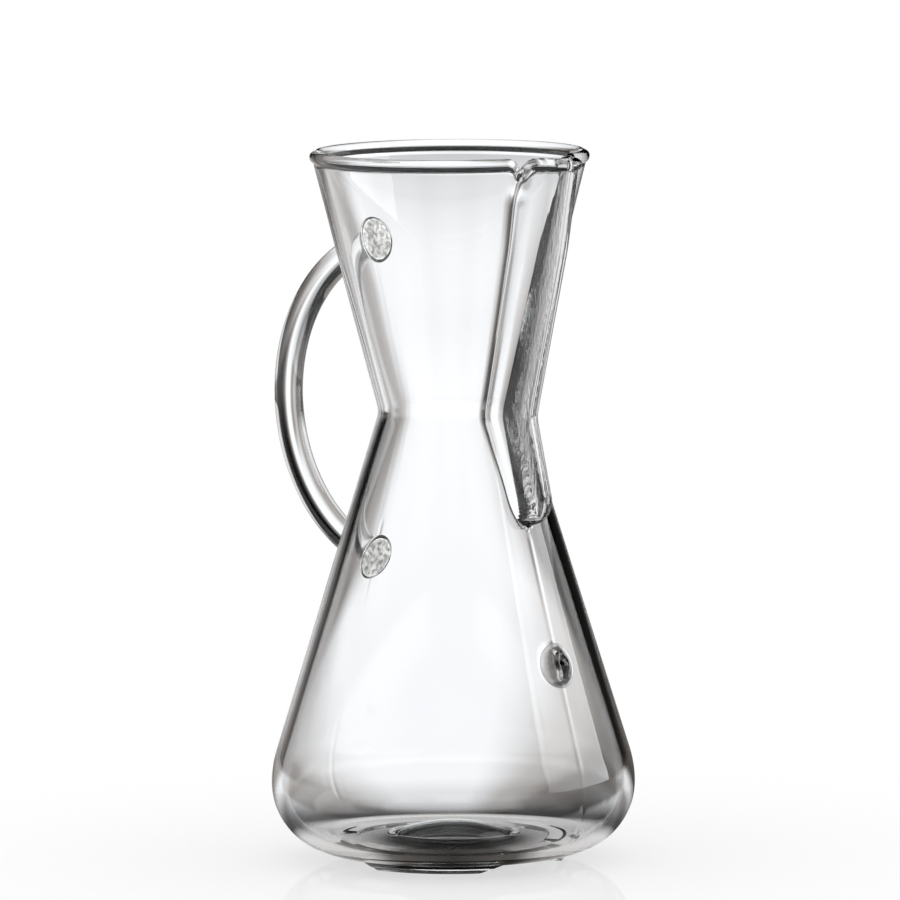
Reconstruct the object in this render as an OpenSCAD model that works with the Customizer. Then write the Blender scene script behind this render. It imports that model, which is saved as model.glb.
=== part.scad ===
// Hourglass pour-over coffee maker in clear glass: a funnel and a flask in one blown wall,
// a pour channel pressed out of the front, a bent rod handle fused on behind,
// and a fused level button. Millimetres, Z up, the vessel's axis on Z, the table at Z = 0,
// the pour channel towards +X and the handle towards -X.

/* [Vessel] */
// Height from the table to the top of the rim
height = 206.4; // [195:0.2:220]
// Outer diameter of the rim bead
rim_d = 81; // [75:0.2:88]
// Outer diameter at the narrowest point of the waist
waist_d = 42.4; // [39:0.2:47]
// Height of the waist above the table
waist_h = 130.8; // [124:0.2:137]
// Bend radius on the outside of the waist
waist_bend_r = 7; // [4:0.5:12]
// Largest outer diameter of the flask
belly_d = 105.4; // [98:0.2:114]
// Height of the largest diameter above the table
belly_h = 22.6; // [20:0.2:27]
// Bend radius between the largest diameter and the flask's straight side
belly_bend_r = 32; // [24:1:44]
// Thickness of the side wall
wall = 2.8; // [2.2:0.1:3.2]
// Thickness of the floor
floor_t = 4; // [3.4:0.1:5.5]
// Diameter of the round edge of the rim
bead_d = 3.4; // [3.3:0.1:4.2]

/* [Base] */
// Height of the feet, from the table to the underside
foot_h = 2.3; // [1.6:0.1:3.2]
// Diameter of the circle along the middle of the feet
foot_circle_d = 62; // [58:0.5:64]
// Width of a foot where it stands on the table
foot_w = 3.6; // [2.6:0.1:4.6]
// Angle round the axis over which each foot stands on the table
foot_arc = 58; // [45:1:75]
// Further angle at each end over which a foot slopes up to the underside
foot_ramp = 14; // [8:1:20]
// Diameter of the push-up in the middle of the base
punt_d = 36; // [30:0.5:44]
// Height of the push-up
punt_h = 4.2; // [1:0.1:5.4]

/* [Pour channel] */
// How far the channel stands out from the wall, from the waist up to its bend
channel_proud = 11.8; // [10:0.1:14]
// How far the lip stands out past the rim bead
lip_proud = 9.6; // [7:0.1:12]
// How far the lower end stands out from the flask
channel_end_proud = 11.2; // [9:0.1:12.4]
// Height at which the channel bends up towards the lip
channel_bend_h = 180; // [165:1:190]
// Height at which the lower end starts to round off
channel_end_h = 109; // [104:0.5:116]
// Length of the rounded lower end
channel_tip_len = 9.5; // [7:0.1:12]
// Width between the creases at the rim
channel_rim_w = 19; // [16:0.2:22]
// Width between the creases at the bend
channel_bend_w = 15; // [13:0.2:18]
// Width between the creases at the waist
channel_waist_w = 11.4; // [10:0.2:13]
// Width between the creases at the lower end
channel_end_w = 8.6; // [8.2:0.1:10]
// Radius of the channel's nose at the rim
nose_rim_r = 5.3; // [4.4:0.1:6.2]
// Radius of the channel's nose at the waist
nose_waist_r = 4.8; // [4:0.1:5.2]
// Radius of the channel's nose at the lower end
nose_end_r = 4.1; // [3.6:0.1:4.6]
// Thickness of the channel's wall
channel_wall = 2.2; // [1.8:0.1:2.6]

/* [Handle] */
// Diameter of the handle rod
rod_d = 8.1; // [7:0.1:10]
// Bend radius along the middle of the rod
loop_r = 47.4; // [44:0.2:52]
// Distance from the vessel's axis to the outermost point of the handle
handle_reach = 71.6; // [69:0.2:76]
// Height of the middle of the bend
handle_h = 131.6; // [128:0.2:135]
// Diameter of the fused foot at each end of the rod
weld_d = 13.6; // [11.4:0.1:15]
// Length along which the rod flares into each fused foot
weld_len = 6; // [4.5:0.1:8]

/* [Level button] */
// Height of the button above the table
button_h = 60; // [50:0.5:70]
// Diameter of the button
button_d = 10.4; // [8.8:0.2:12]
// How far the button stands out from the wall
button_proud = 5.2; // [3.2:0.1:5.6]

/* [Hidden] */
$fn = 120;

// Straight steps that stand for one round stretch of an outline
arc_n = 14;
// Steps along each leg of the channel, and points round the lip's edge
leg_n = 5;
bead_n = 24;
// How far a cutting or joining shape runs past the surface that it meets
overrun = 3;
// Number of feet, evenly spaced, with a gap under the channel
foot_count = 3;
// How far a foot's sides spread between the table and the underside
foot_draft = 1.1;
// Angle by which a foot's bar runs on inside the floor past its ramp
ramp_overrun = 4;

glass = [0.85, 0.9, 0.91, 0.5];
rod_glass = [0.8, 0.86, 0.88, 0.6];

bead_r = bead_d / 2;
rod_r = rod_d / 2;
weld_r = weld_d / 2;
foot_r = foot_circle_d / 2;

// Half sections are drawn as [radius, height]
rim_c = [rim_d / 2 - bead_r, height - bead_r];
shoulder_r = belly_h - foot_h;
shoulder_c = [belly_d / 2 - shoulder_r, belly_h];
belly_c = [belly_d / 2 - belly_bend_r, belly_h];
waist_c = [waist_d / 2 + waist_bend_r, waist_h];

// The flask's straight side touches the belly's bend from outside and the waist's bend from inside
flask_v = waist_c - belly_c;
flask_a = atan2(flask_v.y, flask_v.x) - acos((belly_bend_r + waist_bend_r) / norm(flask_v));
flask_n = [cos(flask_a), sin(flask_a)];
flask_k = flask_n * belly_c + belly_bend_r;

// The funnel's straight side runs from the waist's bend to the middle of the rim bead
funnel_v = waist_c - rim_c - [wall / 2, 0];
funnel_a = atan2(funnel_v.y, funnel_v.x) + acos(waist_bend_r / norm(funnel_v));
funnel_n = [cos(funnel_a), sin(funnel_a)];
funnel_k = funnel_n * waist_c - waist_bend_r;

punt_r = (pow(punt_d / 2, 2) + pow(punt_h, 2)) / (2 * punt_h);

// Channel stations, as [height, outer radius of the wall, stand-out, nose radius, half width at the wall]
channel_end = [channel_end_h, flask_r(channel_end_h), channel_end_proud, nose_end_r, channel_end_w / 2];
channel_waist = [waist_h, waist_d / 2, channel_proud, nose_waist_r, channel_waist_w / 2];
channel_rim = [rim_c.y, rim_d / 2, lip_proud, nose_rim_r, channel_rim_w / 2];
channel_bend = [
  channel_bend_h,
  funnel_r(channel_bend_h, 0),
  channel_proud,
  between(channel_waist, channel_rim, channel_bend_h)[3],
  channel_bend_w / 2
];

// The handle's bend, and the angles on it at which its middle line meets the vessel
loop_c = [handle_reach - rod_r - loop_r, handle_h];
upper_a = funnel_a + acos((funnel_k - funnel_n * loop_c) / loop_r);
lower_a = flask_a - acos((flask_k - flask_n * loop_c) / loop_r);
weld_a = weld_len / loop_r * 180 / PI;

// Outer radius of the flask's straight side at a height
function flask_r(z) = (flask_k - flask_n.y * z) / flask_n.x;

// Radius of the funnel's straight side at a height, moved inwards by an inset
function funnel_r(z, inset) = (funnel_k - inset - funnel_n.y * z) / funnel_n.x;

// Points along an arc about c
function arc(c, r, from, to) =
  [for (i = [0:arc_n]) c + r * [cos(from + (to - from) * i / arc_n), sin(from + (to - from) * i / arc_n)]];

// Half section of the vessel, moved inwards by an inset, from a base height to a top height
function vessel_outline(inset, base, top) =
  concat(
    arc([0, base + punt_h - punt_r], punt_r, 90, 90 - asin(punt_d / 2 / punt_r)),
    arc(shoulder_c, shoulder_r - inset, -asin((belly_h - base) / (shoulder_r - inset)), 0),
    arc(belly_c, belly_bend_r - inset, flask_a / arc_n, flask_a),
    arc(waist_c, waist_bend_r + inset, 180 + flask_a, 180 + funnel_a),
    [[funnel_r(top, inset), top], [0, top]]
  );

// A station between two others, or past them
function between(a, b, z) = a + (b - a) * (z - a[0]) / (b[0] - a[0]);

// Middle of the nose at a station, as a distance from the axis
function nose_u(s) = s[1] + s[2] - s[3];

// Angle at which the flanks spread from the nose to the creases in the wall
function flank_a(s) =
  let (v = [nose_u(s) - sqrt(s[1] * s[1] - s[4] * s[4]), s[4]])
  atan2(v.y, v.x) - asin(s[3] / norm(v));

// Level section of the channel at a station: a round nose and two flanks that run back inside the wall
function channel_section(s, inset) =
  let (
    a = flank_a(s),
    u = nose_u(s),
    r = s[3] - inset,
    back_u = s[1] - 3 * wall,
    back_v = r / cos(a) + (u - back_u) * tan(a)
  )
  concat(
    [[back_u, -back_v, s[0]]],
    [for (p = arc([u, 0], r, a - 90, 90 - a)) [p.x, p.y, s[0]]],
    [[back_u, back_v, s[0]]]
  );

// The rounded lower end, from its tip upwards: stand-out, nose and width shrink along a quarter round
function channel_tip(inset) =
  [for (i = [1:arc_n - 1])
    let (a = 90 - 90 * i / arc_n, z = channel_end_h - (channel_tip_len - inset) * sin(a))
    concat(
      [z, flask_r(z)],
      [for (k = [2:4]) (channel_end[k] - inset) * cos(a) + inset]
    )];

// Stations along one leg of the channel, after its first
function leg(a, b) = [for (i = [1:leg_n]) a + (b - a) * i / leg_n];

// Round section of the lip's edge at a point of its path, across the path
function bead_ring(p, a) =
  [for (i = [0:bead_n - 1])
    let (t = -360 * i / bead_n)
    [p.x + bead_r * cos(t) * cos(a), p.y + bead_r * cos(t) * sin(a), rim_c.y + bead_r * sin(t)]];

// Solid that joins sections of equal point count, split alike on both sides of the middle
module loft(sections) {
  m = len(sections[0]);
  n = len(sections);
  sides = [for (i = [0:n - 2], j = [0:m - 1])
    let (a = i * m + j, b = i * m + (j + 1) % m)
    each j < m / 2 - 1 ? [[a, a + m, b + m], [a, b + m, b]] : [[a, a + m, b], [b, a + m, b + m]]];
  bottom = [for (j = [0:m - 1]) j];
  top = [for (j = [0:m - 1]) n * m - 1 - j];
  polyhedron([for (s = sections) each s], concat(sides, [bottom, top]));
}

module vessel(inset, base, top) {
  rotate_extrude()
    polygon(vessel_outline(inset, base, top));
}

module vessel_envelope() {
  vessel(0, foot_h, rim_c.y);
}

module channel(inset, top) {
  stations = concat(
    channel_tip(inset),
    [channel_end],
    leg(channel_end, channel_waist),
    leg(channel_waist, channel_bend),
    leg(channel_bend, between(channel_bend, channel_rim, top))
  );
  loft([for (s = stations) channel_section(s, inset)]);
}

module rim_bead() {
  rotate_extrude()
    translate(rim_c)
      circle(bead_r);
}

// Round edge that carries the rim along both flanks of the lip and round its nose
module lip_bead() {
  a = flank_a(channel_rim);
  nose = arc([nose_u(channel_rim), 0], nose_rim_r - channel_wall / 2, a - 90, 90 - a);
  flank_len = (nose_u(channel_rim) - rim_c.x) / cos(a) + wall;
  path = concat(
    [nose[0] - flank_len * [cos(a), sin(a)]],
    nose,
    [nose[arc_n] + flank_len * [-cos(a), sin(a)]]
  );
  turns = concat([a - 90], [for (i = [0:arc_n]) a - 90 + (180 - 2 * a) * i / arc_n], [90 - a]);
  loft([for (i = [0:len(path) - 1]) bead_ring(path[i], turns[i])]);
}

// Bar of a foot, which runs up into the floor and past both of its ramps
module foot_bar() {
  top = foot_h + floor_t / 2;
  half = foot_w / 2;
  spread = half + foot_draft * top / foot_h;
  span = foot_arc + 2 * (foot_ramp + ramp_overrun);
  rotate([0, 0, -span / 2])
    rotate_extrude(angle = span)
      translate([foot_r, 0])
        polygon([[-half, 0], [half, 0], [spread, top], [-spread, top]]);
}

module feet() {
  slope = atan2(foot_h, foot_r * foot_ramp * PI / 180);
  for (i = [0:foot_count - 1])
    rotate([0, 0, (i + 0.5) * 360 / foot_count])
      difference() {
        foot_bar();
        for (side = [-1, 1])
          rotate([0, 0, side * foot_arc / 2])
            rotate([side * slope, 0, 0])
              translate([0, side < 0 ? -foot_circle_d : 0, -foot_circle_d])
                cube(foot_circle_d);
      }
}

module carafe_body() {
  color(glass)
    difference() {
      union() {
        difference() {
          union() {
            vessel_envelope();
            channel(0, rim_c.y);
            lip_bead();
            feet();
          }
          vessel(wall, foot_h + floor_t, height + overrun);
        }
        rim_bead();
      }
      channel(channel_wall, height + overrun);
    }
}

// Puts a shape that is drawn along +Z at an angle on the handle's bend, pointing on along the bend or back
module on_loop(a, ahead) {
  translate([-loop_c.x - loop_r * cos(a), 0, loop_c.y + loop_r * sin(a)])
    rotate([0, ahead ? a : a + 180, 0])
      children();
}

module handle_rod() {
  from = lower_a + weld_a;
  to = upper_a - weld_a;
  color(rod_glass)
    translate([-loop_c.x, 0, loop_c.y])
      rotate([90, 0, 180])
        rotate([0, 0, from])
          rotate_extrude(angle = to - from)
            translate([loop_r, 0])
              circle(rod_r);
}

// Flared foot that runs from the end of the rod, at its origin, into the vessel's wall
module weld() {
  spread = weld_r - rod_r;
  flare_r = (pow(weld_len, 2) + pow(spread, 2)) / (2 * spread);
  rotate_extrude()
    polygon(concat(
      [[0, 0]],
      arc([rod_r + flare_r, 0], flare_r, 180, 180 - asin(weld_len / flare_r)),
      [[weld_r, weld_len + overrun], [0, weld_len + overrun]]
    ));
}

module upper_handle_weld() {
  color(rod_glass)
    difference() {
      on_loop(upper_a - weld_a, true)
        weld();
      vessel_envelope();
    }
}

module lower_handle_weld() {
  color(rod_glass)
    difference() {
      on_loop(lower_a + weld_a, false)
        weld();
      vessel_envelope();
    }
}

module level_button() {
  dome_r = button_d / 2;
  color(rod_glass)
    difference() {
      translate([flask_r(button_h), 0, button_h])
        rotate([0, 90 - flask_a, 0])
          rotate_extrude()
            polygon(concat(
              [[0, -overrun], [dome_r, -overrun]],
              arc([0, button_proud - dome_r], dome_r, 0, 90)
            ));
      vessel_envelope();
    }
}

carafe_body();
handle_rod();
upper_handle_weld();
lower_handle_weld();
level_button();
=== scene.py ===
import math

import bpy
import numpy as np
from mathutils import Matrix


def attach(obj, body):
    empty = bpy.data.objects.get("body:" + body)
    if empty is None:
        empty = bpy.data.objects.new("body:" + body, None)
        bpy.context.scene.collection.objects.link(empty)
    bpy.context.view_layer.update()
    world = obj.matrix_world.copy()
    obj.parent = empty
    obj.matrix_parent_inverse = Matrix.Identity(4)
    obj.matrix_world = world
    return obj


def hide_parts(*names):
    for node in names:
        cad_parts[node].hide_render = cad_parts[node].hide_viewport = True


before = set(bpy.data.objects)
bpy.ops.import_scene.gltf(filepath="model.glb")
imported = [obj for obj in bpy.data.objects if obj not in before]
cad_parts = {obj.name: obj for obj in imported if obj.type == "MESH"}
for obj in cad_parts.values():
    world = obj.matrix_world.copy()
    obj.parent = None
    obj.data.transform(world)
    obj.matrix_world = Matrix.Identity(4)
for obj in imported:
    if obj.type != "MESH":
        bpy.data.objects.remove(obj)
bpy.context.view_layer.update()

mm = 0.001
noQuads = np.zeros((0, 4), dtype=int)
noTris = np.zeros((0, 3), dtype=int)

# the blown vessel, in millimetres and degrees
vessel = {
    "height": 206.4, "rimDia": 81.0, "beadDia": 3.4,
    "rollDia": 3.8, "rollOut": 0.2, "rollLap": 4.0,  # the visual rim's roll, its shift outwards and its start
    "wall": 2.8, "rimWall": 2.2, "thinFrom": 46.0, "floor": 4.0,
    "waistDia": 42.4, "waistHigh": 130.8, "waistBend": 7.0,
    "bellyDia": 105.4, "bellyHigh": 22.6, "bellyBend": 32.0,
    "puntDia": 36.0, "puntHigh": 4.2,
    "footHigh": 2.3, "footCircle": 62.0, "footWide": 3.6, "footDraft": 1.1,
    "footArc": 58.0, "footRamp": 14.0, "footAngles": (60.0, 180.0, 300.0),
    "seamHigh": 0.06, "seamWide": 0.7, "seamFoot": (6.0, 12.0), "seamTop": (95.0, 98.0),
    "dimple": 2.3, "dimpleDia": 11.6,
    "waver": 0.05, "waverFoot": (8.0, 25.0),
    "waves": ((3, 0.031, 0.0, 0.5), (5, -0.052, 1.3, 0.3), (2, 0.11, 2.1, 0.4)),  # turns, pitch, phase, size
    # rows of the mesh in each stretch of the half section, the gaps left between some stretches, and the
    # share of the funnel above which the rows are closer
    "rows": {"punt": 12, "base": 6, "feet": 22, "low": 24, "belly": 16, "plain": 46, "tip": 34, "waist": 13,
             "cone": 34, "lip": 18, "roll": 30, "floor": 10},
    "poleGap": 1.2, "footGap": 0.4, "edgeGap": 0.3, "floorGap": 0.8, "lipFrom": 0.78,
    # columns of the mesh in half a turn: nose, flank, fillet, plain wall and rear seam
    "columns": (13, 12, 8, 66, 9), "beforeCrease": 0.012, "pastCrease": 0.05, "rearFrom": 176.0,
}

# the pour channel: stations at its lower end, the waist, its bend and the rim
channel = {
    "endHigh": 109.0, "tipLong": 9.5, "bendHigh": 180.0,
    "proud": 11.8, "lipProud": 9.6, "endProud": 11.2,
    "rimWide": 19.0, "bendWide": 15.0, "waistWide": 11.4, "endWide": 8.6,
    "noseRim": 5.3, "noseWaist": 4.8, "noseEnd": 4.1, "noseLeast": 0.05,
    "wall": 2.2, "filletOut": 4.0, "filletIn": 0.6, "filletFade": (9.0, 1.0),
    "step": 0.25, "overRun": 6.0, "softening": 1.4, "softSteps": 24,  # spacing and softening of the stations
    "tipRows": 4.0, "tipInset": 1.2, "tipRound": 0.999, "spreadLeast": 0.02, "halfTurn": 48.0,
    "dip": 3.4, "dipWide": 1.6, "dipReach": 13.0,
    "ripple": 0.18, "rippleTurn": 4.2, "ripplePhase": 0.6, "rippleAside": 3.6, "rippleWide": 1.6,
    "grainProud": (0.6, 2.0), "grainTurn": (0.02, 0.08),
}


# points on a circle about a centre between two angles in degrees
def arcPoints(centre, radius, start, end, count):
    a = np.radians(np.linspace(start, end, count))
    return np.stack([centre[0] + radius * np.cos(a), centre[1] + radius * np.sin(a)], 1)


# evenly spaced points on a straight line: start (1 - t) + end t
def linePoints(start, end, count):
    t = np.linspace(0, 1, count)[:, None]
    return np.asarray(start) * (1 - t) + np.asarray(end) * t


# the straight sides of the flask and the funnel: each a line n . p = k that touches two circles
def vesselLines():
    v = vessel
    waist = np.array([v["waistDia"] / 2 + v["waistBend"], v["waistHigh"]])
    belly = np.array([v["bellyDia"] / 2 - v["bellyBend"], v["bellyHigh"]])
    bead = v["beadDia"] / 2
    rim = np.array([v["rimDia"] / 2 - bead, v["height"] - bead])
    d = waist - belly
    flask = math.atan2(d[1], d[0]) - math.acos((v["bellyBend"] + v["waistBend"]) / np.hypot(*d))
    d = waist - rim - [v["wall"] / 2, 0]
    funnel = math.atan2(d[1], d[0]) + math.acos(v["waistBend"] / np.hypot(*d))
    flaskN = np.array([math.cos(flask), math.sin(flask)])
    funnelN = np.array([math.cos(funnel), math.sin(funnel)])
    return {
        "waist": waist, "belly": belly, "rim": rim,
        "flaskA": flask, "flaskN": flaskN, "flaskK": flaskN @ belly + v["bellyBend"],
        "funnelA": funnel, "funnelN": funnelN, "funnelK": funnelN @ waist - v["waistBend"],
    }


lines = vesselLines()


# radius of the straight flask side at a height
def flaskRadius(z):
    return (lines["flaskK"] - lines["flaskN"][1] * z) / lines["flaskN"][0]


# radius of the straight funnel side at a height
def funnelRadius(z):
    return (lines["funnelK"] - lines["funnelN"][1] * z) / lines["funnelN"][0]


# side of the vessel from its base up to just under the rim, moved inwards by inset: arcs at the base, the
# belly and the waist with straight lines between them, their rows closer along the channel
def sideProfile(inset, base, top):
    v = vessel
    n = v["rows"]
    bend = v["bellyHigh"] - v["footHigh"]
    shoulder = (v["bellyDia"] / 2 - bend, v["bellyHigh"])
    flaskDeg = math.degrees(lines["flaskA"])
    funnelDeg = math.degrees(lines["funnelA"])
    start = -math.degrees(math.asin((v["bellyHigh"] - base) / (bend - inset)))
    low = arcPoints(shoulder, bend - inset, start, 0, n["low"])
    belly = arcPoints(lines["belly"], v["bellyBend"] - inset, 0, flaskDeg, n["belly"])
    waist = arcPoints(lines["waist"], v["waistBend"] + inset, 180 + flaskDeg, 180 + funnelDeg, n["waist"])
    splitHigh = channel["endHigh"] - channel["tipLong"] - channel["tipRows"]
    t = (splitHigh - belly[-1, 1]) / (waist[0, 1] - belly[-1, 1])
    split = belly[-1] + t * (waist[0] - belly[-1])
    plain = linePoints(belly[-1], split, n["plain"])
    tip = linePoints(split, waist[0], n["tip"])
    end = np.array([(lines["funnelK"] - inset - lines["funnelN"][1] * top) / lines["funnelN"][0], top])
    turn = waist[-1] + v["lipFrom"] * (end - waist[-1])
    cone = linePoints(waist[-1], turn, n["cone"])
    lip = linePoints(turn, end, n["lip"])
    return np.concatenate([low, belly[1:], plain[1:], tip[1:], waist[1:], cone[1:], lip[1:]])


# channel stations at many heights: stand-out, nose radius and half width, rounded off at the lower end
# by a quarter ellipse and softened along the height by a moving bell curve
def channelStations():
    c = channel
    v = vessel
    rimHigh = lines["rim"][1]
    z = np.arange(c["endHigh"] - c["tipLong"], v["height"] + c["overRun"], c["step"])
    knots = [c["endHigh"], v["waistHigh"], c["bendHigh"], rimHigh]
    bendT = (c["bendHigh"] - v["waistHigh"]) / (rimHigh - v["waistHigh"])
    noseBend = c["noseWaist"] + bendT * (c["noseRim"] - c["noseWaist"])
    wallR = [flaskRadius(c["endHigh"]), v["waistDia"] / 2, funnelRadius(c["bendHigh"]), v["rimDia"] / 2]
    reach = np.interp(z, knots, np.array(wallR) + [c["endProud"], c["proud"], c["proud"], c["lipProud"]])
    nose = np.interp(z, knots, [c["noseEnd"], c["noseWaist"], noseBend, c["noseRim"]])
    half = np.interp(z, knots, np.array([c["endWide"], c["waistWide"], c["bendWide"], c["rimWide"]]) / 2)
    wall = np.interp(z, knots, wallR)
    n = c["softSteps"]
    kernel = np.exp(-0.5 * (np.arange(-n, n + 1) * c["step"] / c["softening"]) ** 2)
    kernel /= kernel.sum()
    soft = [np.convolve(np.pad(a, n, mode="edge"), kernel, "valid") for a in (reach, nose, half, wall)]
    reach, nose, half, wall = soft
    down = np.clip((c["endHigh"] - z) / c["tipLong"], 0, c["tipRound"])
    fade = np.sqrt(1 - down ** 2)
    under = z < c["endHigh"]
    wall = np.where(under, flaskRadius(z), wall)
    reach = np.where(under, flaskRadius(z) + c["endProud"] * fade, reach)
    return {"z": z, "reach": reach, "nose": nose * fade, "half": half * fade, "wall": wall}


stations = channelStations()


# nose radius, nose centre, half width and wall radius of the channel at a height, between its stations
def stationAt(z):
    s = stations
    nose, reach, half, wall = [np.interp(z, s["z"], s[key]) for key in ("nose", "reach", "half", "wall")]
    return nose, reach - nose, half, wall


# angle at which the flanks spread from the nose to the creases: the tangent from a crease to the nose circle
def flankSpread(nose, centre, half, wall):
    u = centre - np.sqrt(np.maximum(wall ** 2 - half ** 2, 0))
    return np.arctan2(half, u) - np.arcsin(np.clip(nose / np.hypot(u, half), 0, 1))


# angle about the axis at which the nose circle runs into the flank
def noseTurn(nose, centre, spread):
    return np.arctan2(nose * np.cos(spread), centre + nose * np.sin(spread))


# distance from the axis to the channel's surface at an angle and height: the nose is a circle seen from the
# axis, c cos a + sqrt(r^2 - c^2 sin^2 a), and each flank a straight line (r + c sin g) / sin(a + g)
def ridgeRadius(theta, z, inset):
    c = channel
    nose, centre, half, wall = stationAt(z)
    spread = flankSpread(nose, centre, half, wall)
    nose = np.maximum(nose - inset, c["noseLeast"])
    a = np.abs(theta)
    noseArc = centre * np.cos(a) + np.sqrt(np.maximum(nose ** 2 - (centre * np.sin(a)) ** 2, 0))
    flank = (nose + centre * np.sin(spread)) / np.sin(np.maximum(a + spread, c["spreadLeast"]))
    ridge = np.where(a < noseTurn(nose, centre, spread), noseArc, flank)
    within = (a < np.radians(c["halfTurn"])) & (z > stations["z"][0] + inset * c["tipInset"])
    return np.where(within, ridge, 0.0)


# larger of two radii, with the corner between them rounded over a width k
def softMax(a, b, k):
    h = np.maximum(k - np.abs(a - b), 0) / k
    return np.maximum(a, b) + h * h * k / 4


# smooth step from 0 to 1 between two values
def ease(x, low, high):
    t = np.clip((x - low) / (high - low), 0, 1)
    return t * t * (3 - 2 * t)


# angles of the mesh columns at each height: even steps between marks at the nose, the flanks, the fillets and
# the rear seam, mirrored to the other side
def columnAngles(z):
    v = vessel
    nose, centre, half, wall = stationAt(np.clip(z, channel["endHigh"], lines["rim"][1]))
    turn = noseTurn(nose, centre, flankSpread(nose, centre, half, wall))
    crease = np.arcsin(half / wall)
    marks = [np.zeros_like(turn), turn, crease - v["beforeCrease"], crease + v["pastCrease"],
             np.full_like(turn, np.radians(v["rearFrom"])), np.full_like(turn, np.pi)]
    parts = []
    for low, high, n in zip(marks[:-1], marks[1:], v["columns"]):
        t = np.arange(n) / n
        parts.append(low[:, None] + (high - low)[:, None] * t)
    front = np.concatenate(parts, 1)
    return np.concatenate([front, np.full((len(z), 1), np.pi), -front[:, :0:-1]], 1)


# slow unevenness of blown glass: a few sine waves round the axis and along it
def waver(theta, z):
    waves = vessel["waves"]
    return sum(np.sin(turns * theta + pitch * z + phase) * size for turns, pitch, phase, size in waves)


# bumps of the arc feet under the base: a plateau across the ring times a plateau with ramps along the arc
def footBumps(r, theta):
    v = vessel
    half = v["footWide"] / 2
    across = 1 - ease(np.abs(r - v["footCircle"] / 2), half, half + v["footDraft"])
    deg = np.degrees(theta) % 360
    along = np.zeros_like(deg)
    for middle in v["footAngles"]:
        off = np.abs((deg - middle + 180) % 360 - 180)
        ramp = np.clip((v["footArc"] / 2 + v["footRamp"] - off) / v["footRamp"], 0, 1)
        along = np.maximum(along, ramp)
    return v["footHigh"] * across * along


# rise of the push-up over the base at a radius: a cap of the sphere through its edge and its top
def puntLift(r):
    edge = vessel["puntDia"] / 2
    high = vessel["puntHigh"]
    ball = (edge ** 2 + high ** 2) / (2 * high)
    return np.where(r < edge, np.sqrt(np.maximum(ball ** 2 - r ** 2, 0)) - ball + high, 0.0)


# rows of points with closed columns, as quads, with a fan to a pole at each end
def skin(rows, poleA, poleB):
    n, m = rows.shape[:2]
    verts = np.concatenate([rows.reshape(-1, 3), [poleA, poleB]])
    i, j = np.meshgrid(np.arange(n - 1), np.arange(m), indexing="ij")
    k = (j + 1) % m
    quads = np.stack([i * m + j, i * m + k, (i + 1) * m + k, (i + 1) * m + j], -1).reshape(-1, 4)
    j = np.arange(m)
    k = (j + 1) % m
    fanA = np.stack([k, j, np.full(m, n * m)], 1)
    fanB = np.stack([(n - 1) * m + j, (n - 1) * m + k, np.full(m, n * m + 1)], 1)
    return verts, quads, np.concatenate([fanA, fanB])


# a mesh object at the origin from points in millimetres, quads and triangles, shaded smooth
def addPiece(name, verts, quads, tris, material):
    mesh = bpy.data.meshes.new(name)
    mesh.vertices.add(len(verts))
    mesh.vertices.foreach_set("co", (np.asarray(verts) * mm).ravel())
    loops = np.concatenate([quads.ravel(), tris.ravel()]).astype(np.int32)
    mesh.loops.add(len(loops))
    mesh.loops.foreach_set("vertex_index", loops)
    sizes = np.concatenate([np.full(len(quads), 4), np.full(len(tris), 3)]).astype(np.int32)
    mesh.polygons.add(len(sizes))
    mesh.polygons.foreach_set("loop_start", np.concatenate([[0], np.cumsum(sizes)[:-1]]).astype(np.int32))
    mesh.polygons.foreach_set("loop_total", sizes)
    mesh.polygons.foreach_set("use_smooth", np.ones(len(sizes), dtype=bool))
    mesh.update(calc_edges=True)
    mesh.validate()
    mesh.materials.append(material)
    piece = bpy.data.objects.new(name, mesh)
    bpy.context.scene.collection.objects.link(piece)
    return piece


# a node with its sockets set from a dictionary of their names
def setSockets(node, settings):
    for socket, value in settings.items():
        node.inputs[socket].default_value = value
    return node


# clear glass: a slow draw in the surface, faint smears in the gloss and a grey tint in the thickness
clearGlass = {
    "tint": (1.0, 1.0, 1.0, 1), "ior": 1.474, "murk": (0.72, 0.77, 0.77, 1), "density": 12.0,
    "drawStretch": (1.0, 1.0, 0.35), "drawScale": 70.0, "drawDetail": 1.5,
    "drawStrength": 0.25, "drawDeep": 0.00012,
    "smearScale": 38.0, "smearDetail": 4.0, "smearFrom": 0.45, "smearTo": 0.8, "smearRough": 0.035,
}

# pits and frost in the channel, where the vessel's skin is marked with them
channelGrain = {"mark": "channelGrain", "scale": 900.0, "detail": 2.0, "deep": 0.0005, "frost": 0.28}


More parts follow.
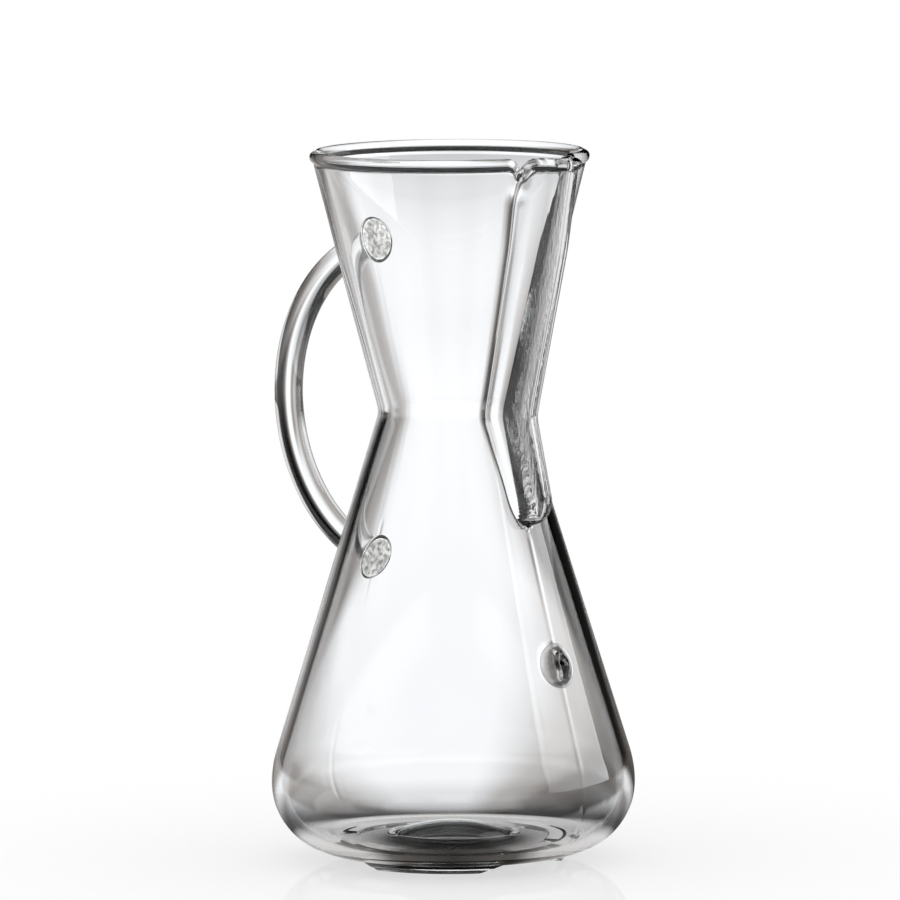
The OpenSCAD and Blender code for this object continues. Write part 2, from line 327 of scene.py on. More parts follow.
# clear glass with full transmission, its normal from a bump of stretched noise and its roughness from another
# noise. Grainy glass adds fine pits to the normal and frost to the roughness, both times the skin's mark
def glassMaterial(name, grainy):
    g = clearGlass
    mat = bpy.data.materials.new(name)
    mat.use_nodes = True
    nodes = mat.node_tree.nodes
    link = mat.node_tree.links.new
    shader = nodes["Principled BSDF"]
    setSockets(shader, {"Base Color": g["tint"], "IOR": g["ior"], "Transmission Weight": 1.0})
    coords = nodes.new("ShaderNodeTexCoord")
    stretch = setSockets(nodes.new("ShaderNodeMapping"), {"Scale": g["drawStretch"]})
    link(coords.outputs["Object"], stretch.inputs["Vector"])
    draw = nodes.new("ShaderNodeTexNoise")
    setSockets(draw, {"Scale": g["drawScale"], "Detail": g["drawDetail"]})
    link(stretch.outputs["Vector"], draw.inputs["Vector"])
    bump = nodes.new("ShaderNodeBump")
    setSockets(bump, {"Strength": g["drawStrength"], "Distance": g["drawDeep"]})
    link(draw.outputs["Fac"], bump.inputs["Height"])
    smear = nodes.new("ShaderNodeTexNoise")
    setSockets(smear, {"Scale": g["smearScale"], "Detail": g["smearDetail"]})
    link(coords.outputs["Object"], smear.inputs["Vector"])
    gloss = nodes.new("ShaderNodeMapRange")
    setSockets(gloss, {"From Min": g["smearFrom"], "From Max": g["smearTo"], "To Max": g["smearRough"]})
    link(smear.outputs["Fac"], gloss.inputs["Value"])
    normal = bump.outputs["Normal"]
    roughness = gloss.outputs["Result"]
    if grainy:
        c = channelGrain
        mark = nodes.new("ShaderNodeAttribute")
        mark.attribute_name = c["mark"]
        speck = setSockets(nodes.new("ShaderNodeTexNoise"), {"Scale": c["scale"], "Detail": c["detail"]})
        link(stretch.outputs["Vector"], speck.inputs["Vector"])
        pits = setSockets(nodes.new("ShaderNodeBump"), {"Distance": c["deep"]})
        link(mark.outputs["Fac"], pits.inputs["Strength"])
        link(speck.outputs["Fac"], pits.inputs["Height"])
        link(normal, pits.inputs["Normal"])
        frost = nodes.new("ShaderNodeMath")
        frost.operation = "MULTIPLY_ADD"
        frost.inputs[1].default_value = c["frost"]
        link(mark.outputs["Fac"], frost.inputs[0])
        link(roughness, frost.inputs[2])
        normal = pits.outputs["Normal"]
        roughness = frost.outputs["Value"]
    link(normal, shader.inputs["Normal"])
    link(roughness, shader.inputs["Roughness"])
    murk = nodes.new("ShaderNodeVolumeAbsorption")
    setSockets(murk, {"Color": g["murk"], "Density": g["density"]})
    link(murk.outputs["Volume"], nodes["Material Output"].inputs["Volume"])
    return mat


# grainy glass of the fused lenses with a painted glow: its emission stands in for light scattered in it
weldFinish = {
    "pale": (0.97, 0.97, 0.96, 1), "dull": (0.34, 0.34, 0.33, 1), "ior": 1.474, "clear": 1.0,
    "roughness": 0.35, "glow": 0.37, "speckScale": 850.0, "speckDetail": 3.0,
    "speckFrom": 0.36, "speckTo": 0.62, "pitStrength": 0.6, "pitDeep": 0.0003,
}


# glass mottled by fine noise: the noise mixes a dull and a pale colour and gives the bump; the mixed colour
# also glows, a painted glow for scattered light
def grainMaterial():
    g = weldFinish
    mat = bpy.data.materials.new("weldGrainPaintedGlow")
    mat.use_nodes = True
    nodes = mat.node_tree.nodes
    link = mat.node_tree.links.new
    shader = nodes["Principled BSDF"]
    # Emission Strength is a painted glow: the lens shines by itself in place of light scattered in it
    setSockets(shader, {"Roughness": g["roughness"], "IOR": g["ior"], "Transmission Weight": g["clear"],
                        "Emission Strength": g["glow"]})
    coords = nodes.new("ShaderNodeTexCoord")
    speck = nodes.new("ShaderNodeTexNoise")
    setSockets(speck, {"Scale": g["speckScale"], "Detail": g["speckDetail"]})
    link(coords.outputs["Object"], speck.inputs["Vector"])
    sharpen = nodes.new("ShaderNodeMapRange")
    setSockets(sharpen, {"From Min": g["speckFrom"], "From Max": g["speckTo"]})
    link(speck.outputs["Fac"], sharpen.inputs["Value"])
    mix = nodes.new("ShaderNodeMix")
    mix.data_type = "RGBA"
    setSockets(mix, {"A": g["dull"], "B": g["pale"]})
    link(sharpen.outputs["Result"], mix.inputs["Factor"])
    link(mix.outputs["Result"], shader.inputs["Base Color"])
    # the mottled colour also drives the painted glow
    link(mix.outputs["Result"], shader.inputs["Emission Color"])
    bump = nodes.new("ShaderNodeBump")
    setSockets(bump, {"Strength": g["pitStrength"], "Distance": g["pitDeep"]})
    link(speck.outputs["Fac"], bump.inputs["Height"])
    link(bump.outputs["Normal"], shader.inputs["Normal"])
    return mat


weldGrainPaintedGlow = grainMaterial()
bodyGlass = glassMaterial("blownGlass", True)
rodGlass = glassMaterial("rodGlass", False)
print("glass finishes ready")


# the half section as rows of a kind, a radius and a height: 0 under the base, 1 up the outside, 2 round the
# rim's roll, where an angle stands for the radius, 3 down the inside and 4 over the floor
def sectionRows(top, rollHigh, neck):
    v = vessel
    n = v["rows"]
    under = v["footHigh"]
    floorHigh = under + v["floor"]
    outer = sideProfile(0, under, top)
    inner = sideProfile(v["wall"], floorHigh, top)
    # the wall thins towards the rim
    spare = (v["wall"] - v["rimWall"]) / 2
    outer[:, 0] -= spare * ease(outer[:, 1], top - v["thinFrom"], top)
    inner[:, 0] += spare * ease(inner[:, 1], top - v["thinFrom"], top)
    edge = v["puntDia"] / 2
    footR = v["footCircle"] / 2
    half = v["footWide"] / 2 + v["footDraft"]
    feetFrom = footR - half - v["footGap"]
    feetTo = footR + half + v["footGap"]
    punt = np.linspace(v["poleGap"], edge, n["punt"])[:-1]
    base = np.concatenate([punt, np.linspace(edge, feetFrom, n["base"])[:-1],
                           np.linspace(feetFrom, feetTo, n["feet"])])
    base = base[base < outer[0, 0] - v["edgeGap"]]
    floor = np.concatenate([punt, np.linspace(edge, inner[0, 0] - v["floorGap"], n["floor"])])[::-1]
    roll = np.radians(np.linspace(v["rollLap"] - neck, 180 - v["rollLap"] + neck, n["roll"]))
    rows = [
        (base, under + puntLift(base)),
        (outer[:, 0], outer[:, 1]),
        (roll, np.full(len(roll), rollHigh)),
        (inner[::-1, 0], inner[::-1, 1]),
        (floor, floorHigh + puntLift(floor)),
    ]
    kind = np.repeat(np.arange(len(rows)), [len(first) for first, high in rows])
    firsts, highs = zip(*rows)
    return kind, np.concatenate(firsts), np.concatenate(highs)


# the vessel's wall as one closed skin: a profile runs from under the base up the outside, over the rim's roll
# and down the inside, and at each angle the side takes the larger of the turned radius and the channel's
def makeVessel():
    v = vessel
    c = channel
    roll = v["rollDia"] / 2
    rollHigh = v["height"] - roll
    neck = math.degrees(math.acos(v["rimWall"] / v["rollDia"]))
    top = rollHigh - roll * math.sin(math.radians(neck))
    kind, first, high = sectionRows(top, rollHigh, neck)
    outerRim = first[kind == 1][-1]
    innerRim = first[kind == 3][0]
    theta = columnAngles(high)
    kind = kind[:, None]
    first = first[:, None]
    turned = np.broadcast_to(first, theta.shape)
    z = np.broadcast_to(high[:, None], theta.shape).copy()
    waves = v["waver"] * waver(theta, z) * ease(z, *v["waverFoot"])
    tight = ease(z, top - c["filletFade"][0], top - c["filletFade"][1])
    blend = c["filletIn"] + (c["filletOut"] - c["filletIn"]) * (1 - tight)
    outside = softMax(turned, ridgeRadius(theta, z, 0), blend)
    inside = softMax(turned, ridgeRadius(theta, z, c["wall"]), c["filletIn"])
    # mould seams stand out a little on the flask, front and rear
    seam = np.exp(-((np.abs(np.sin(theta)) * first / v["seamWide"]) ** 2))
    seam = v["seamHigh"] * seam * (1 - ease(z, *v["seamTop"])) * ease(z, *v["seamFoot"])
    # the inside follows the level button with a shallow dimple
    aim = np.hypot(np.sin(theta) * first, (z - button["high"]) / lines["flaskN"][0]) / (v["dimpleDia"] / 2)
    dimple = v["dimple"] * (1 + np.cos(np.pi * np.minimum(aim, 1))) / 2 * (np.cos(theta) > 0)
    # the rim rolls round the middle of the wall there, and is as much wider where the wall is wider
    rimA = theta[np.argmax(kind[:, 0] == 2)]
    rimZ = np.full_like(rimA, top)
    rimOut = softMax(np.full_like(rimA, outerRim), ridgeRadius(rimA, rimZ, 0), c["filletIn"])
    rimIn = softMax(np.full_like(rimA, innerRim), ridgeRadius(rimA, rimZ, c["wall"]), c["filletIn"])
    middle = (rimOut + rimIn) / 2 + v["rollOut"]
    swell = (rimOut - rimIn) * roll / v["rimWall"]
    rollR = middle + swell * np.cos(first)
    rollZ = rollHigh + roll * np.sin(first)
    r = np.select([kind == 1, kind == 2, kind == 3], [outside + seam, rollR, inside + waves + dimple], first)
    # the inside of the channel's one flank is grainy, as if from the tool that pressed it
    pressed = (kind == 3) * (z > c["endHigh"] - c["tipLong"])
    rough = ease(r - first, *c["grainProud"]) * ease(theta, *c["grainTurn"]) * pressed
    z = np.where(kind == 2, rollZ, z)
    z = np.where(kind == 0, z - footBumps(first, theta), z)
    # the rim dips where the creases of the channel run out over it, and ripples beside them
    crease = np.arcsin(c["rimWide"] / v["rimDia"])
    across = (np.abs(theta) - crease) * v["rimDia"] / 2
    rise = ease(z, rollHigh - c["dipReach"], rollHigh)
    z = z - c["dip"] * np.exp(-(across / c["dipWide"]) ** 2) * rise
    ripple = np.sin(across * c["rippleTurn"] + c["ripplePhase"])
    z = z + c["ripple"] * ripple * np.exp(-((across + c["rippleAside"]) / c["rippleWide"]) ** 2) * rise ** 3
    pts = np.stack([r * np.cos(theta), r * np.sin(theta), z], -1)
    poleUnder = (0, 0, v["footHigh"] + v["puntHigh"])
    poleFloor = (0, 0, v["footHigh"] + v["floor"] + v["puntHigh"])
    verts, quads, tris = skin(pts, poleUnder, poleFloor)
    piece = addPiece("carafeGlass", verts, quads, tris, bodyGlass)
    layer = piece.data.attributes.new(channelGrain["mark"], "FLOAT", "POINT")
    layer.data.foreach_set("value", np.append(rough.ravel(), [0, 0]).astype(np.float32))
    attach(piece, "root")
    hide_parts("carafe_body")
    print("vessel skin", len(verts), "points", pts.shape)


# distance along a direction from points to the vessel's wall, moved in by a depth: Newton steps on the
# radius, with the slope taken over a short nudge
def reachWall(points, direction, wallRadius, depth):
    nudge = 0.01
    rounds = 12  # more than it needs to settle
    t = np.zeros(len(points))
    for step in range(rounds):
        p = points + t[:, None] * direction
        gap = np.hypot(p[:, 0], p[:, 1]) - (wallRadius(p[:, 2]) - depth)
        q = p + nudge * direction
        gapNext = np.hypot(q[:, 0], q[:, 1]) - (wallRadius(q[:, 2]) - depth)
        t = t - gap * nudge / (gapNext - gap)
    return t


# the handle: a rod bent to an arc, with a fused foot and a grainy lens at each end
rod = {
    "dia": 8.4, "bend": 47.4, "reach": 71.6, "high": 131.6, "rings": 96, "sides": 48,
    "weldDia": 13.6, "weldLong": 6.0, "weldRings": 12, "sunk": 1.3, "sunkShares": (0.99, 0.9, 0.5),
    "lensDia": 11.8, "lensDeep": (0.95, 0.8, 0.65), "lensShares": (0.5, 0.93, 1.0),
}


# the handle as one skin: a circle carried along an arc, flaring by a short arc into a round foot at each end
def makeHandle():
    h = rod
    radius = h["dia"] / 2
    weldR = h["weldDia"] / 2
    centre = np.array([h["reach"] - radius - h["bend"], h["high"]])
    upper = lines["funnelA"] + math.acos((lines["funnelK"] - lines["funnelN"] @ centre) / h["bend"])
    lower = lines["flaskA"] - math.acos((lines["flaskK"] - lines["flaskN"] @ centre) / h["bend"])
    weld = h["weldLong"] / h["bend"]
    a = np.linspace(lower + weld, upper - weld, h["rings"])
    phi = np.linspace(0, 2 * np.pi, h["sides"] + 1)[:-1]
    spread = weldR - radius
    flare = (h["weldLong"] ** 2 + spread ** 2) / (2 * spread)

    # ring of a given radius about the arc at an angle
    def ring(angle, size):
        out = np.array([-math.cos(angle), 0, math.sin(angle)])
        mid = np.array([-centre[0], 0, centre[1]]) + h["bend"] * out
        return mid + size * (np.cos(phi)[:, None] * out + np.sin(phi)[:, None] * np.array([0, 1, 0]))

    # direction from an end of the rod into the wall: the tangent of its arc there
    def inwards(angle, sign):
        return sign * np.array([math.sin(angle), 0, math.cos(angle)])

    # rings from the end of the rod into the wall, each point as far along as the wall is there
    def foot(angle, sign, wallRadius):
        along = inwards(angle, sign)
        base = ring(angle, weldR)
        far = reachWall(base, along, wallRadius, 0.0)
        deep = reachWall(base, along, wallRadius, h["sunk"])
        rows = []
        for q in np.linspace(0, 1, h["weldRings"])[1:]:
            size = radius + flare - math.sqrt(flare ** 2 - (h["weldLong"] * q) ** 2)
            rows.append(ring(angle, size) + (q * far)[:, None] * along)
        for share, place in zip(h["sunkShares"], ((far + deep) / 2, deep, deep)):
            rows.append(ring(angle, weldR * share) + place[:, None] * along)
        return rows, ring(angle, 0)[0] + deep.mean() * along

    # thin lens of grainy glass where an end is fused on, within the wall: rings out along its deep face and
    # back along the other
    def lens(name, node, angle, sign, wallRadius):
        along = inwards(angle, sign)
        back, edge, front = h["lensDeep"]
        inner, outer, full = h["lensShares"]
        rows = []
        for share, depth in ((inner, back), (outer, back), (full, edge), (outer, front), (inner, front)):
            base = ring(angle, h["lensDia"] / 2 * share)
            rows.append(base + reachWall(base, along, wallRadius, depth)[:, None] * along)
        middle = ring(angle, 0)[:1]
        poles = [middle[0] + reachWall(middle, along, wallRadius, d)[0] * along for d in (back, front)]
        rows = np.array(rows)
        verts, quads, tris = skin(rows[:, ::-1] if sign < 0 else rows, poles[0], poles[1])
        piece = addPiece(name, verts, quads, tris, weldGrainPaintedGlow)
        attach(piece, "root")
        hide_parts(node)

    low, poleLow = foot(a[0], -1, flaskRadius)
    high, poleHigh = foot(a[-1], 1, funnelRadius)
    rows = np.array(low[::-1] + [ring(t, radius) for t in a] + high)
    verts, quads, tris = skin(rows[:, ::-1], poleLow, poleHigh)
    piece = addPiece("handleGlass", verts, quads, tris, rodGlass)
    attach(piece, "root")
    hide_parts("handle_rod")
    lens("upperWeldDisc", "upper_handle_weld", a[-1], 1, funnelRadius)
    lens("lowerWeldDisc", "lower_handle_weld", a[0], -1, flaskRadius)
    print("handle skin", len(verts), "points")


# the level button on the flask, its foot sunk just under the wall's face and its underside a little deeper
button = {"high": 60.0, "dia": 13.2, "proud": 3.6, "sunk": 0.06, "below": 0.04, "rings": 40, "sides": 64,
          "underShares": (0.4, 0.8, 0.97)}


# the level button as a soft drop: its rise over the wall is proud * (1 + cos(pi t)) / 2 at the share t of its
# radius
def makeButton():
    b = button
    t = np.linspace(0, 1, b["rings"] + 1)[1:]
    under = -b["sunk"] - b["below"]
    rise = (b["proud"] + b["sunk"]) * (1 + np.cos(np.pi * t)) / 2 - b["sunk"]
    size = np.concatenate([b["underShares"], t[::-1]]) * (b["dia"] / 2)
    high = np.concatenate([np.full(len(b["underShares"]), under), rise[::-1]])
    phi = np.linspace(0, 2 * np.pi, b["sides"] + 1)[:-1]
    slope = lines["flaskN"]
    foot = flaskRadius(b["high"])

    # a point of the flask's wall, aside and up from the button's middle, lifted along the wall's normal
    def onWall(aside, up, lift):
        z = b["high"] + up * slope[0]
        a = aside / foot
        out = flaskRadius(z) + lift * slope[0]
        return np.stack([out * np.cos(a), out * np.sin(a), z + lift * slope[1]], -1)

    rows = onWall(size[:, None] * np.cos(phi), size[:, None] * np.sin(phi), high[:, None])
    poles = onWall(np.zeros(2), np.zeros(2), np.array([under, b["proud"]]))
    verts, quads, tris = skin(rows, poles[0], poles[1])
    piece = addPiece("levelButton", verts, quads, tris, rodGlass)
    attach(piece, "root")
    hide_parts("level_button")
    print("button skin", len(verts), "points")


makeVessel()
makeHandle()
makeButton()

# view of the photograph: azimuth and roll in degrees, distances in metres, lens and sensor in millimetres
viewFrom = {"azimuth": 45.0, "away": 3.0, "high": 0.445, "aim": 0.1192, "aside": -0.00038,
            "lens": 417.2, "sensor": 36.0, "roll": 0.355, "clip": (0.05, 50.0)}


# camera frame from the view line: right and up turned by the roll about it
def makeCamera():
    c = viewFrom
    a = math.radians(c["azimuth"])
    eye = np.array([math.sin(a) * c["away"], -math.cos(a) * c["away"], c["high"]])
    level = np.array([math.cos(a), math.sin(a), 0])
    look = np.array([0, 0, c["aim"]]) + c["aside"] * level - eye
    look /= np.linalg.norm(look)
    right = np.cross(look, [0, 0, 1])
    right /= np.linalg.norm(right)
    up = np.cross(right, look)
    t = math.radians(c["roll"])
    tiltRight = right * math.cos(t) - up * math.sin(t)
    tiltUp = up * math.cos(t) + right * math.sin(t)
    data = bpy.data.cameras.new("photoCamera")
    data.lens = c["lens"]
    data.sensor_width = c["sensor"]
    data.clip_start, data.clip_end = c["clip"]
    cam = bpy.data.objects.new("photoCamera", data)
    world = np.eye(4)
    world[:3] = np.column_stack([tiltRight, tiltUp, -look, eye])
    cam.matrix_world = Matrix(world.tolist())
    bpy.context.scene.collection.objects.link(cam)
    bpy.context.scene.camera = cam
    print("camera at", tuple(eye))


makeCamera()

# the studio: a pale floor, and for the glass alone a white field behind it, dark flags beside and above it,
# and a curved card on each side. Tones round the axis are by degrees from straight behind the object, to the
# right as the camera sees it; rises and fades are by metres of height or distance
studio = {
    "floorReach": 6.0, "floorTone": 0.95, "floorGloss": 0.25, "glossRough": 0.03,
    "glowNear": 0.6, "glowFrom": 0.07, "glowFull": 0.22, "ambient": 1.05,
    "reach": 2.0, "ringHigh": 4.0, "ringSplit": 0.36, "gapHalf": 7.5, "ringSteps": 181, "discSteps": 96,
    "ringTones": ((-180, 1.0), (-157, 0.3), (-146, 0.9), (-124, 0.9), (-112, 0.3), (-100, 0.9), (-80, 0.9),
                  (-68, 0.2), (-58, 0.1), (-52, 0.1), (-40, 0.2), (-25, 0.2), (-20, 0.85), (-15, 0.8),
                  (-11.5, 0.5), (-7, 1.12), (2.5, 1.12), (5.3, 0.5), (9, 0.12), (14, 0.02), (36, 0.015),
                  (42, 0.25), (48, 0.25), (54, 0.03), (68, 0.2), (80, 0.9), (100, 0.9), (112, 0.3),
                  (124, 0.9), (146, 0.9), (157, 0.3), (180, 1.0)),
    "ringRise": ((0, 0.76), (0.025, 0.73), (0.04, 0.62), (0.05, 0.52), (0.08, 0.46), (0.16, 0.42),
                 (0.22, 0.02), (4.0, 0.02)),
    "nearTones": ((-180, 1.0), (-157, 0.55), (-146, 1.0), (-124, 1.0), (-112, 0.55), (-100, 1.0), (-80, 1.0),
                  (-68, 0.45), (-51, 0.95), (-42, 0.95), (-36, 0.4), (-20, 0.42), (-16, 0.75), (-9, 1.12),
                  (3, 1.12), (5, 0.95), (8, 0.62), (12, 0.45), (13.7, 0.27), (15.4, 0.2), (22, 0.1),
                  (34, 0.06), (40, 0.85), (50, 0.85), (57, 0.3), (68, 0.45), (80, 1.0), (112, 0.55),
                  (124, 1.0), (146, 1.0), (157, 0.55), (180, 1.0)),
    "farTones": ((-180, 1.0), (-157, 0.45), (-146, 0.95), (-124, 0.95), (-112, 0.45), (-100, 0.95),
                 (-80, 0.95), (-68, 0.3), (-52, 0.08), (-40, 0.06), (-25, 0.08), (-19, 0.55), (-15, 0.6),
                 (-12.5, 0.34), (-8.8, 0.36), (-5.2, 1.12), (2.5, 1.12), (5.3, 0.5), (9, 0.12),
                 (14, 0.025), (36, 0.02), (42, 0.25), (48, 0.25), (54, 0.03), (68, 0.3), (80, 0.95),
                 (100, 0.95), (112, 0.45), (124, 0.95), (146, 0.95), (157, 0.45), (180, 1.0)),
    "farFrom": 0.72, "farFull": 0.98, "floorLift": 0.0003,
    # painted shade on the floor as the glass shows it: dark close round the object, lighter outwards, and a
    # little darker again towards the edge of the disc
    "paintedFloorShade": ((0, 0.05), (0.063, 0.13), (0.069, 0.22), (0.083, 0.475), (0.093, 0.62), (0.103, 0.70),
                  (0.114, 0.77), (0.137, 0.89), (0.161, 0.98), (0.3, 1.0), (1.35, 1.0), (1.5, 0.96),
                  (1.7, 0.89), (1.93, 0.81), (2.0, 0.77)),
    # painted shade under the base as the glass shows it: dark under the middle and towards the camera,
    # lighter in a ring under the feet and towards the sides, dark again at its edge
    "baseReach": 0.056, "baseLift": 0.0005,
    "baseShadeTones": ((-180, 0.04), (-150, 0.1), (-136, 0.6), (-60, 0.85), (-40, 0.7), (0, 0.45), (40, 0.7),
                  (60, 0.85), (136, 0.6), (150, 0.1), (180, 0.04)),
    "baseShadeFade": ((0, 0.04), (0.018, 0.05), (0.024, 0.6), (0.030, 1.0), (0.048, 1.0), (0.056, 0.15)),
    "cardLeft": {"away": 0.22, "foot": 0.19, "top": 0.27, "from": -75, "to": -29,
                 "tones": ((-180, 0.2), (-62, 0.2), (-50, 0.24), (-36, 0.22), (-29, 0.12), (180, 0.1))},
    "cardRight": {"away": 0.22, "foot": 0.118, "top": 0.27, "from": 18, "to": 75,
                  "tones": ((-180, 0.1), (18, 0.3), (26, 0.85), (62, 0.85), (75, 0.6), (180, 0.6))},
    "pale": (0.985, 1.0, 1.02), "dusk": (1.10, 1.0, 0.93),
}


# part of an upright ring about the axis: radius, foot, top, and two angles in degrees from straight behind
def ringWall(radius, foot, top, start, end):
    n = studio["ringSteps"]
    t = np.radians(np.linspace(start, end, n))
    circle = np.stack([np.sin(t), np.cos(t)], 1) * radius
    low = np.column_stack([circle, np.full(n, foot)])
    high = np.column_stack([circle, np.full(n, top)])
    j = np.arange(n - 1)
    return np.concatenate([low, high]) / mm, np.stack([j, j + 1, j + 1 + n, j + n], 1)


# a level disc on the floor or just over it, facing up: a circle of points fanned to its middle
def floorDisc(radius, lift):
    n = studio["discSteps"]
    j = np.arange(n)
    t = j / n * 2 * np.pi
    verts = np.column_stack([np.cos(t) * radius, np.sin(t) * radius, np.full(n, lift)])
    return np.concatenate([verts, [[0, 0, lift]]]) / mm, np.stack([j, (j + 1) % n, np.full(n, n)], 1)


# pale floor: plain diffuse with a thin gloss near the object, turning into an even white further out
def makeFloor():
    s = studio
    mat = bpy.data.materials.new("paleFloor")
    mat.use_nodes = True
    nodes = mat.node_tree.nodes
    link = mat.node_tree.links.new
    nodes.remove(nodes["Principled BSDF"])
    matt = setSockets(nodes.new("ShaderNodeBsdfDiffuse"), {"Color": (s["floorTone"],) * 3 + (1,)})
    gloss = setSockets(nodes.new("ShaderNodeBsdfGlossy"), {"Roughness": s["glossRough"]})
    coat = setSockets(nodes.new("ShaderNodeMixShader"), {"Fac": s["floorGloss"]})
    link(matt.outputs["BSDF"], coat.inputs[1])
    link(gloss.outputs["BSDF"], coat.inputs[2])
    coords = nodes.new("ShaderNodeTexCoord")
    away = nodes.new("ShaderNodeVectorMath")
    away.operation = "LENGTH"
    link(coords.outputs["Object"], away.inputs[0])
    fade = nodes.new("ShaderNodeMapRange")
    fade.interpolation_type = "SMOOTHSTEP"
    setSockets(fade, {"From Min": s["glowFrom"], "From Max": s["glowFull"], "To Min": s["glowNear"]})
    link(away.outputs["Value"], fade.inputs["Value"])
    white = setSockets(nodes.new("ShaderNodeEmission"), {"Strength": 1.0})
    mix = nodes.new("ShaderNodeMixShader")
    link(fade.outputs["Result"], mix.inputs["Fac"])
    link(coat.outputs["Shader"], mix.inputs[1])
    link(white.outputs["Emission"], mix.inputs[2])
    link(mix.outputs["Shader"], nodes["Material Output"].inputs["Surface"])
    verts, tris = floorDisc(s["floorReach"], 0)
    floor = addPiece("studioFloor", verts, noQuads, tris, mat)


# a stage object that stands fixed in the room, its own +Y straight behind the object in the photograph's
# view. Only rays that come through the glass or are mirrored by it see it, as asked
def standAside(thing, through, mirrored):
    thing.visible_camera = False
    thing.visible_diffuse = False
    thing.visible_shadow = False
    thing.visible_volume_scatter = False
    thing.visible_transmission = through
    thing.visible_glossy = mirrored
    thing.rotation_euler = (0, 0, math.radians(viewFrom["azimuth"]))


# glow of a flag: a ramp of the angle round the axis times a ramp of the height or of the distance from the
# axis, pale tones a little cold and dark ones a little warm. On the floor a second ramp takes over further
# out, and the back is clear
def flagMaterial(name, tones, span, fade, farTones=None):
    mat = bpy.data.materials.new(name)
    mat.use_nodes = True
    nodes = mat.node_tree.nodes
    link = mat.node_tree.links.new
    nodes.remove(nodes["Principled BSDF"])
    coords = nodes.new("ShaderNodeTexCoord")
    split = nodes.new("ShaderNodeSeparateXYZ")
    link(coords.outputs["Object"], split.inputs["Vector"])
    pale = np.array(studio["pale"])
    dusk = np.array(studio["dusk"])

    # ramp over a socket from a low to a high value; tinted stops are placed in degrees
    def ramp(socket, low, high, stops, tinted):
        scale = setSockets(nodes.new("ShaderNodeMapRange"), {"From Min": low, "From Max": high})
        link(socket, scale.inputs["Value"])
        node = nodes.new("ShaderNodeValToRGB")
        marks = node.color_ramp.elements
        for place, tone in stops:
            at = ((math.radians(place) if tinted else place) - low) / (high - low)
            mark = marks[0] if at <= 0 else marks[-1] if at >= 1 else marks.new(at)
            tint = dusk + (pale - dusk) * min(tone, 1) if tinted else np.ones(3)
            mark.color = (*(tone * tint), 1)
        link(scale.outputs["Result"], node.inputs["Fac"])
        return node.outputs["Color"]

    turn = nodes.new("ShaderNodeMath")
    turn.operation = "ARCTAN2"
    link(split.outputs["X"], turn.inputs[0])
    link(split.outputs["Y"], turn.inputs[1])
    away = nodes.new("ShaderNodeVectorMath")
    away.operation = "LENGTH"
    link(coords.outputs["Object"], away.inputs[0])
    glow = nodes.new("ShaderNodeEmission")
    near = ramp(turn.outputs["Value"], -math.pi, math.pi, tones, True)
    second = away.outputs["Value"] if farTones else split.outputs["Z"]
    # on the floor discs this ramp by distance is the painted shade round and under the object
    link(ramp(second, 0, span, fade, False), glow.inputs["Strength"])
    surface = nodes["Material Output"].inputs["Surface"]
    if not farTones:
        link(near, glow.inputs["Color"])
        link(glow.outputs["Emission"], surface)
        return mat
    share = nodes.new("ShaderNodeMapRange")
    setSockets(share, {"From Min": studio["farFrom"], "From Max": studio["farFull"]})
    link(away.outputs["Value"], share.inputs["Value"])
    blend = nodes.new("ShaderNodeMix")
    blend.data_type = "RGBA"
    link(share.outputs["Result"], blend.inputs["Factor"])
    link(near, blend.inputs["A"])
    link(ramp(turn.outputs["Value"], -math.pi, math.pi, farTones, True), blend.inputs["B"])
    link(blend.outputs["Result"], glow.inputs["Color"])
    side = nodes.new("ShaderNodeNewGeometry")
    clear = nodes.new("ShaderNodeBsdfTransparent")
    mix = nodes.new("ShaderNodeMixShader")
    link(side.outputs["Backfacing"], mix.inputs["Fac"])
    link(glow.outputs["Emission"], mix.inputs[1])
    link(clear.outputs["BSDF"], mix.inputs[2])
    link(mix.outputs["Shader"], surface)
    return mat


# a ramp that is the same from the floor up to a height
def evenRise(top):
    return (0, 1), (top, 1)
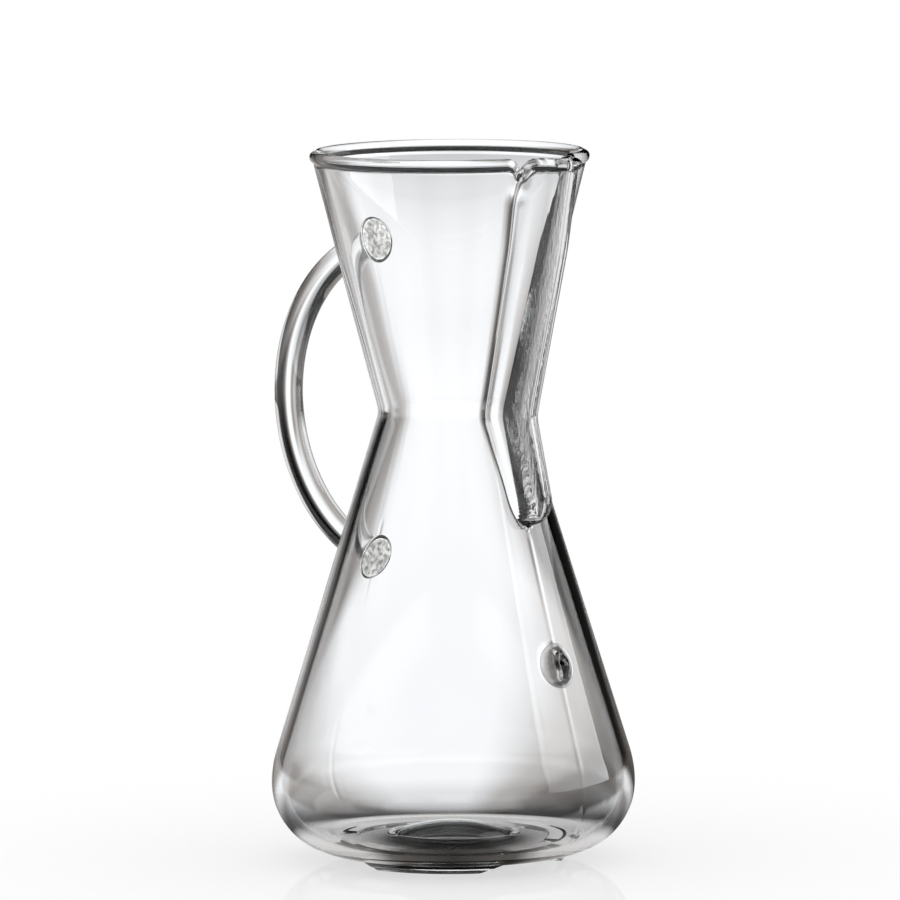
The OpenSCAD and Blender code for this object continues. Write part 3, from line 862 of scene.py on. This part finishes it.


# the flags: a ring with a gap for the floor's own mirrored rays, a curved card on each side that is seen only
# through the glass, and the floor and the base as the glass shows them, with painted shade on the floor round
# the object and a dark painted shade under its base
def makeFlags():
    s = studio
    mat = flagMaterial("flagRing", s["ringTones"], s["ringHigh"], s["ringRise"])
    gap = s["gapHalf"]
    parts = (("flagRing", s["ringSplit"], s["ringHigh"], -180, 180, True),
             ("flagRingSides", 0.0, s["ringSplit"], gap, 360 - gap, True),
             ("flagRingFoot", 0.0, s["ringSplit"], -gap, gap, False))
    for name, foot, top, start, end, mirrored in parts:
        verts, quads = ringWall(s["reach"], foot, top, start, end)
        standAside(addPiece(name, verts, quads, noTris, mat), True, mirrored)
    for name in ("cardLeft", "cardRight"):
        card = s[name]
        verts, quads = ringWall(card["away"], card["foot"], card["top"], card["from"], card["to"])
        mat = flagMaterial(name, card["tones"], card["top"], evenRise(card["top"]))
        standAside(addPiece(name, verts, quads, noTris, mat), True, False)
    discs = (("flagFloorPaintedShade", s["reach"], s["floorLift"], s["nearTones"], s["paintedFloorShade"], s["farTones"]),
             ("paintedShadeUnderBase", s["baseReach"], s["baseLift"], s["baseShadeTones"], s["baseShadeFade"], s["baseShadeTones"]))
    for name, reach, lift, tones, fade, farTones in discs:
        verts, tris = floorDisc(reach, lift)
        mat = flagMaterial(name, tones, reach, fade, farTones)
        standAside(addPiece(name, verts, noQuads, tris, mat), True, True)


# a soft box to the right of the photograph's view, seen in reflections
softBox = {"angle": 93, "away": 0.6, "foot": 0.02, "top": 0.95, "wide": 0.6,
           "tones": ((-180, 0), (60, 4.4), (120, 3.0), (180, 0))}


# an upright glowing card facing the object, by its angle from straight behind: its middle is away along
# (sin a, cos a), and it is wide along (cos a, -sin a)
def makeSoftBox():
    b = softBox
    a = math.radians(b["angle"])
    out = np.array([math.sin(a), math.cos(a), 0]) * b["away"]
    side = np.array([math.cos(a), -math.sin(a), 0]) * b["wide"] / 2
    up = np.array([0, 0, 1])
    low = out + up * b["foot"]
    high = out + up * b["top"]
    corners = np.array([low - side, low + side, high + side, high - side])
    mat = flagMaterial("softBox", b["tones"], b["top"], evenRise(b["top"]))
    standAside(addPiece("softBox", corners / mm, np.array([[0, 1, 2, 3]]), noTris, mat), False, True)


# even white surround
def makeWorld():
    world = bpy.data.worlds.new("studioWorld")
    world.use_nodes = True
    setSockets(world.node_tree.nodes["Background"], {"Color": (1, 1, 1, 1), "Strength": studio["ambient"]})
    bpy.context.scene.world = world


makeFloor()
makeFlags()
makeSoftBox()
makeWorld()
bpy.context.scene.view_settings.view_transform = "Standard"
print("studio ready")
